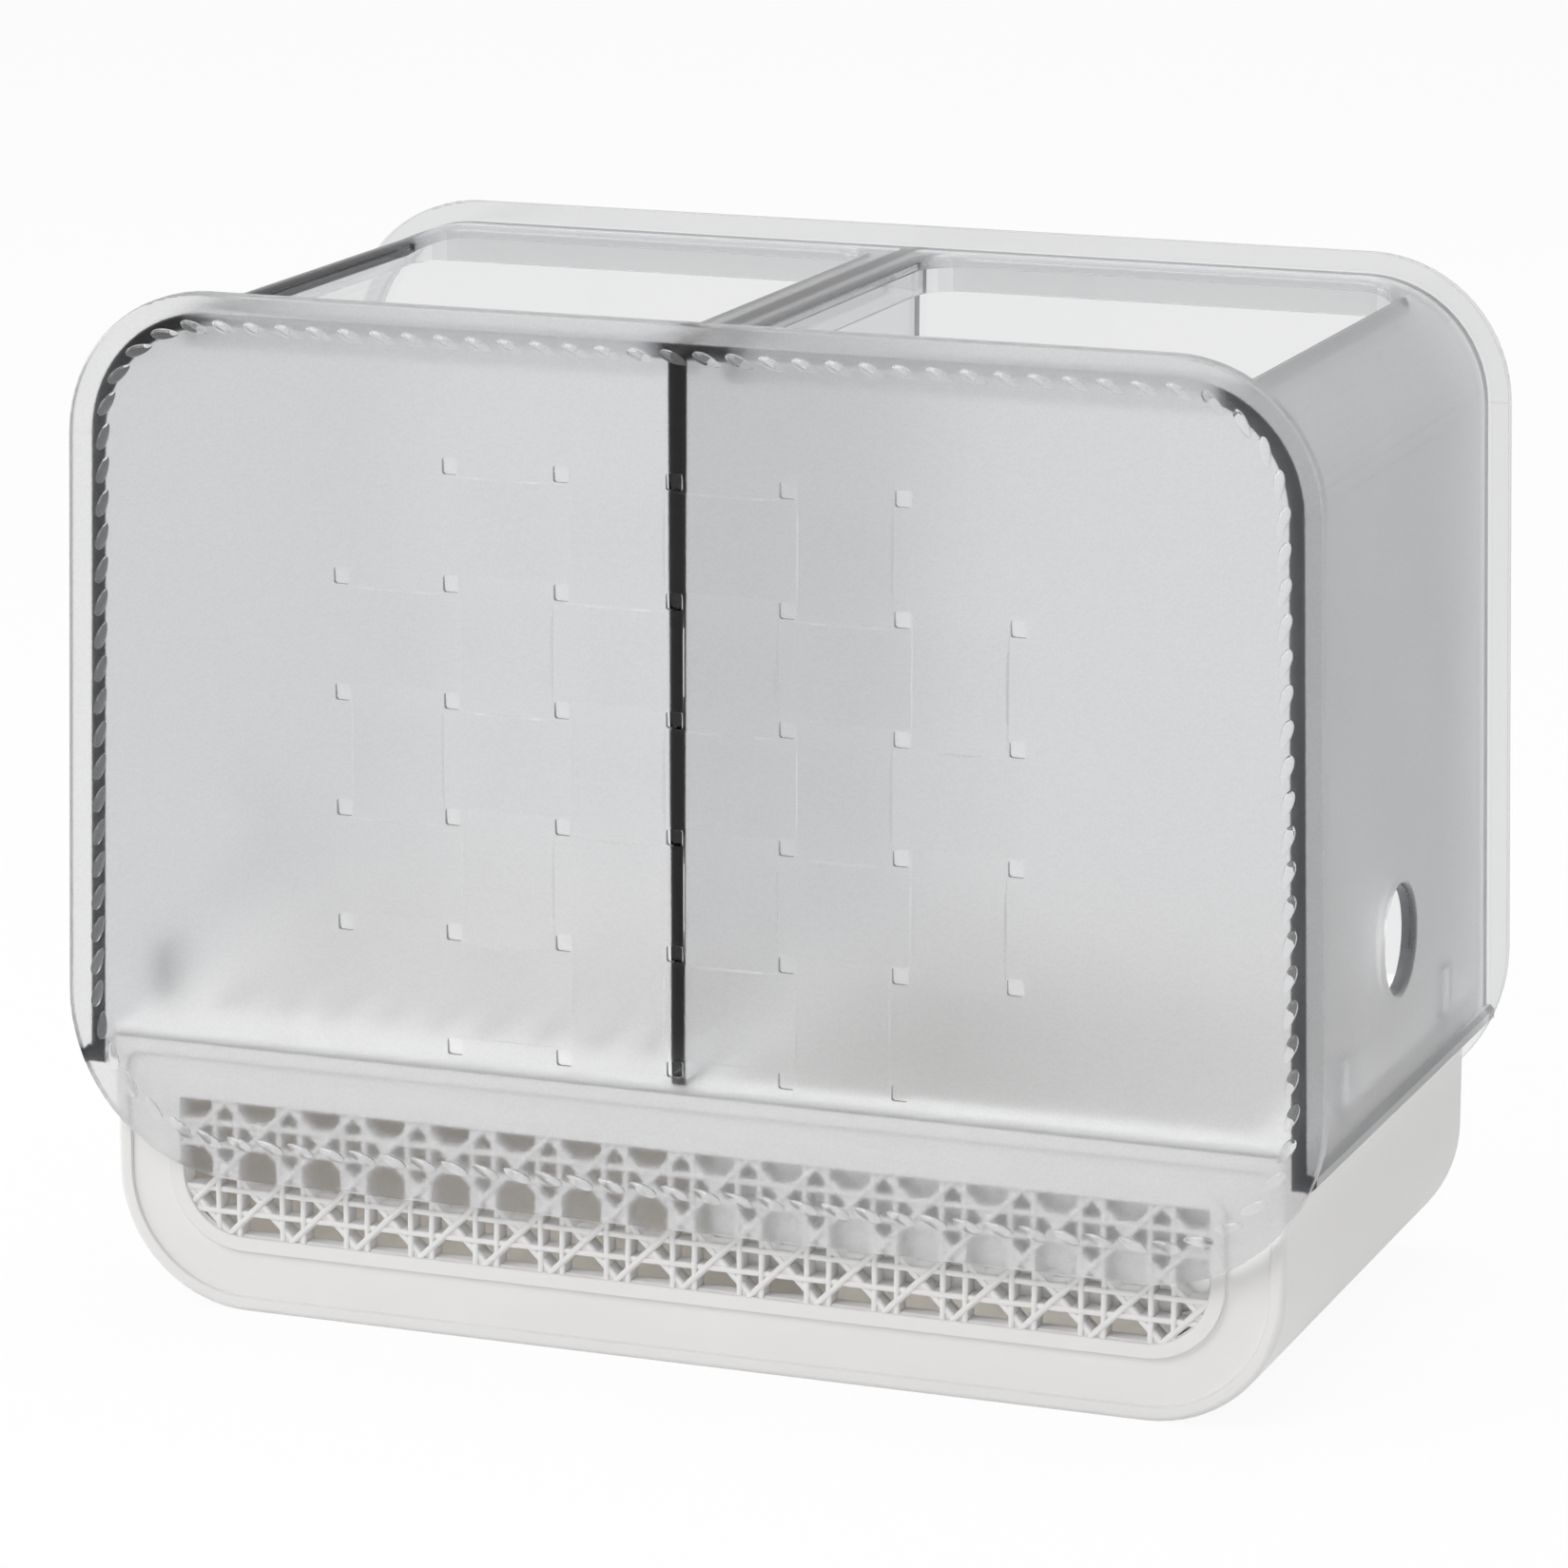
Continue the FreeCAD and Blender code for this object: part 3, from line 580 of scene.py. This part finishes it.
def white_plastic(name, low, high, through=0.0, part=None, tone=None):
    """Satin white moulding with a faint unevenness, and as much light let through as asked.

    A part of it, given by a mask, may have a painted tone, which the callers use for painted shade inside the
    base and painted light on the insert's well.
    """
    material, tree, output = new_material(name)
    place = tree.nodes.new("ShaderNodeTexCoord").outputs["Object"]
    shader = tree.nodes.new("ShaderNodeBsdfPrincipled")
    shader.inputs["Subsurface Weight"].default_value = through
    shader.inputs["Subsurface Radius"].default_value = (1.0, 1.0, 1.0)
    shader.inputs["Subsurface Scale"].default_value = 0.003
    cloud = noise(tree, place, 40.0, 3.0)
    grain = noise(tree, place, 3200.0, 2.0)
    tint = tree.nodes.new("ShaderNodeMix")
    tint.data_type = "RGBA"
    tint.inputs["A"].default_value = low
    tint.inputs["B"].default_value = high
    tree.links.new(cloud, tint.inputs["Factor"])
    colour = tint.outputs["Result"]
    # Painted tone on the masked part: painted shade or painted light, as the caller gives
    if part:
        painted_tint = tree.nodes.new("ShaderNodeMix")
        painted_tint.data_type = "RGBA"
        painted_tint.inputs["B"].default_value = tone
        tree.links.new(part(tree, parts_of(tree, place)), painted_tint.inputs["Factor"])
        tree.links.new(colour, painted_tint.inputs["A"])
        colour = painted_tint.outputs["Result"]
    tree.links.new(colour, shader.inputs["Base Color"])
    tree.links.new(ramp(tree, cloud, 0.38, 0.48), shader.inputs["Roughness"])
    soft_edges = add(tree, "ShaderNodeBevel", Radius=EDGE_SOFTNESS)
    bump = add(tree, "ShaderNodeBump", Strength=0.05, Distance=0.0001)
    tree.links.new(soft_edges.outputs["Normal"], bump.inputs["Normal"])
    tree.links.new(grain, bump.inputs["Height"])
    tree.links.new(bump.outputs["Normal"], shader.inputs["Normal"])
    tree.links.new(shader.outputs["BSDF"], output.inputs["Surface"])
    return material


def seen_directly(tree):
    """1 for rays that show the background: from the camera, off gloss, or through the plastic."""
    path = tree.nodes.new("ShaderNodeLightPath").outputs
    through = maths(tree, "MAXIMUM", path["Is Camera Ray"], path["Is Transmission Ray"])
    return maths(tree, "MAXIMUM", through, path["Is Glossy Ray"])


def make_floor():
    size = 3.0
    mesh = bpy.data.meshes.new("floor")
    corners = [(-size, -size, 0), (size, -size, 0), (size, size, 0), (-size, size, 0)]
    mesh.from_pydata(corners, [], [(0, 1, 2, 3)])
    floor = bpy.data.objects.new("floor", mesh)
    bpy.context.scene.collection.objects.link(floor)
    material, tree, output = new_material("floor_white")
    matt = tree.nodes.new("ShaderNodeBsdfDiffuse")
    matt.inputs["Color"].default_value = (0.85, 0.85, 0.85, 1)
    glow = tree.nodes.new("ShaderNodeEmission")
    glow.inputs["Strength"].default_value = 1.0
    mix = tree.nodes.new("ShaderNodeMixShader")
    tree.links.new(ramp(tree, seen_directly(tree), 0.0, 0.93), mix.inputs["Fac"])
    tree.links.new(matt.outputs["BSDF"], mix.inputs[1])
    tree.links.new(glow.outputs["Emission"], mix.inputs[2])
    tree.links.new(mix.outputs["Shader"], output.inputs["Surface"])
    mesh.materials.append(material)


def make_world(strength):
    world = bpy.data.worlds.new("studio")
    bpy.context.scene.world = world
    world.use_nodes = True
    tree = world.node_tree
    back = tree.nodes["Background"]
    back.inputs["Color"].default_value = (1, 1, 1, 1)
    tree.links.new(ramp(tree, seen_directly(tree), strength, 1.0), back.inputs["Strength"])


def make_lamp(name, place, size, power):
    light = bpy.data.lights.new(name, "AREA")
    light.shape = "SQUARE"
    light.size = size
    light.energy = power
    lamp = bpy.data.objects.new(name, light)
    bpy.context.scene.collection.objects.link(lamp)
    lamp.location = place
    lamp.rotation_euler = (Vector(LAMP_AIM) - Vector(place)).to_track_quat("-Z", "Y").to_euler()


def make_camera():
    data = bpy.data.cameras.new("camera")
    data.sensor_width = SENSOR_MM
    data.lens = FOCAL_PIXELS / IMAGE_PIXELS * SENSOR_MM
    data.clip_start = 0.01
    camera = bpy.data.objects.new("camera", data)
    bpy.context.scene.collection.objects.link(camera)
    turn, tilt = CAMERA_AZIMUTH, CAMERA_ELEVATION
    right = Vector((math.cos(turn), math.sin(turn), 0))
    back = Vector((math.sin(turn) * math.cos(tilt), -math.cos(turn) * math.cos(tilt), math.sin(tilt)))
    up = back.cross(right)
    spot = CAMERA_AIM + right * CAMERA_SIDE + up * CAMERA_RISE + back * CAMERA_DISTANCE
    lean, level = math.sin(CAMERA_ROLL), math.cos(CAMERA_ROLL)
    right, up = right * level - up * lean, right * lean + up * level
    camera.matrix_world = Matrix.Translation(spot) @ Matrix((right, up, back)).transposed().to_4x4()
    bpy.context.scene.camera = camera


def dress(node, material):
    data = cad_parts[node].data
    data.materials.clear()
    data.materials.append(material)


bpy.context.scene.view_settings.view_transform = "Standard"
# Light crosses many walls of the bin, and must not be blurred away behind them
cycles = bpy.context.scene.cycles
cycles.max_bounces = 16
cycles.transmission_bounces = 16
cycles.glossy_bounces = 6
cycles.blur_glossy = 0.0
make_camera()
make_floor()
make_world(0.5)
make_lamp("key", (-0.55, -0.9, 0.9), 0.7, 5.4)
make_lamp("side", (-1.2, -0.45, 0.4), 0.5, 2.2)
make_lamp("top", (0.05, 0.1, 1.2), 0.9, 6.3)
# The base's inner faces get a painted warm shade
dress("base_tray", white_plastic("white_plastic", *PALE, part=painted_shade_inside_base, tone=HOLLOW_PAINTED_SHADE))
# The front of the insert's well gets a painted light
dress("drain_insert", white_plastic("insert_plastic", *INSERT_PALE, through=1.0, part=painted_light_on_well, tone=WELL_PAINTED_LIGHT))
grille_plastic = white_plastic("grille_plastic", *PALE)
dress("cane_grille", grille_plastic)
make_strands(grille_plastic)
make_bin(frosted_plastic())
